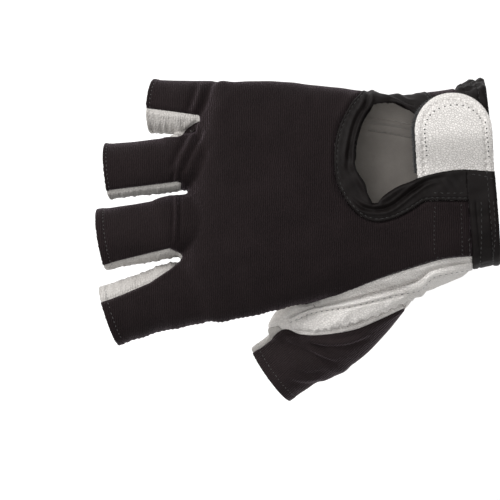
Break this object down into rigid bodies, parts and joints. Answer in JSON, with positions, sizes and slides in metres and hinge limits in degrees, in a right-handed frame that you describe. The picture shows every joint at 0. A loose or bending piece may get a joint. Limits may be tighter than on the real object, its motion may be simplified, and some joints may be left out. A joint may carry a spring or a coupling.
{
  "type": "half-finger impact glove",
  "caption": "Half-finger work glove with a stretch-knit back, leather palm, padded palm and thumb crotch, keyhole wrist vent and leather closing tab.",
  "frame": {"origin": "middle of the wrist opening, where a wrist comes out of the glove", "axes": "+X out of the wrist opening, with the fingers towards -X; -Y towards the thumb; +Z out of the back of the hand"},
  "size_m": [0.1699, 0.1358, 0.0576],
  "materials": {
    "knit": "matte black stretch knit",
    "leather": "pearl-grey grain leather, matte",
    "pad_leather": "light grain leather over padding",
    "tab_leather": "off-white pebble-grain leather",
    "tape": "smooth black stretch tape, faint sheen",
    "fastener": "black hook-and-loop tape"
  },
  "bodies": {
    "root": {"back_panel": "knit", "thumb_back": "knit", "palm_panel": "leather", "thumb_front": "leather", "gusset_little_ring": "leather", "gusset_ring_middle": "leather", "gusset_middle_index": "leather", "palm_pad": "pad_leather", "thumb_web_patch": "pad_leather", "wrist_tab": "tab_leather", "vent_tape": "tape", "wrist_tape": "tape", "hook_patch": "fastener", "loop_patch": "fastener"}
  },
  "joints": []
}
